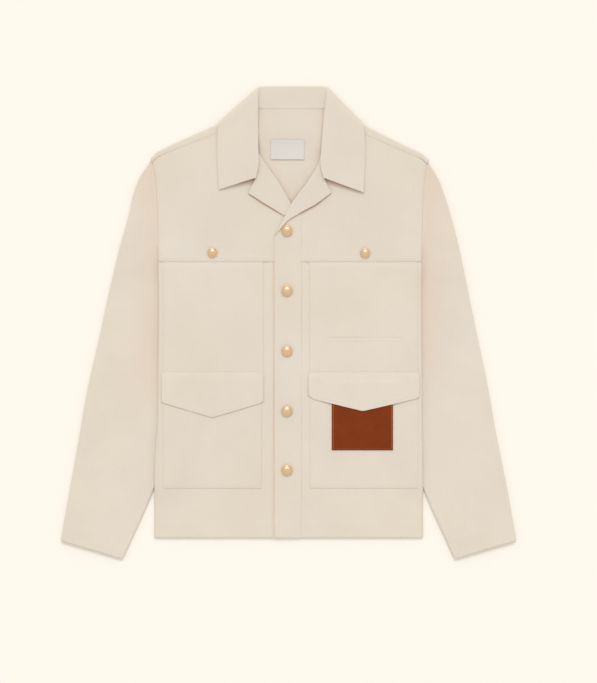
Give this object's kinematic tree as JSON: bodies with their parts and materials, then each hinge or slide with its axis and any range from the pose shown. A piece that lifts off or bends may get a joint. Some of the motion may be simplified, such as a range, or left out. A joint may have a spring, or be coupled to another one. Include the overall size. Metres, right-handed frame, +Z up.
{
  "type": "cotton jacket laid flat",
  "caption": "Cotton work jacket lying flat, face up: camp collar with lapels, buttoned band, chest yoke, patch pockets with pointed flaps, leather patch and long plain sleeves.",
  "frame": {"origin": "on the surface under the jacket, at the middle of its outline seen from above", "axes": "+Z up from the surface, +Y from hem to collar, +X towards the wearer's left sleeve"},
  "size_m": [0.7508, 0.7785, 0.015],
  "materials": {
    "cotton": "undyed cream cotton twill",
    "leather": "smooth tan leather",
    "brass": "polished gold-coloured metal",
    "woven_label": "plain off-white woven tape"
  },
  "bodies": {
    "root": {"back": "cotton", "front_left": "cotton", "front_right": "cotton", "front_yoke_left": "cotton", "front_yoke_right": "cotton", "placket": "cotton", "lapel_left": "cotton", "lapel_right": "cotton", "collar": "cotton", "sleeve_left": "cotton", "sleeve_right": "cotton", "chest_pocket_left": "cotton", "chest_pocket_right": "cotton", "chest_welt": "cotton", "pocket_left": "cotton", "pocket_right": "cotton", "flap_left": "cotton", "flap_right": "cotton", "leather_patch": "leather", "neck_label": "woven_label", "button_1": "brass", "button_2": "brass", "button_3": "brass", "button_4": "brass", "button_5": "brass", "yoke_button_left": "brass", "yoke_button_right": "brass"}
  },
  "joints": []
}
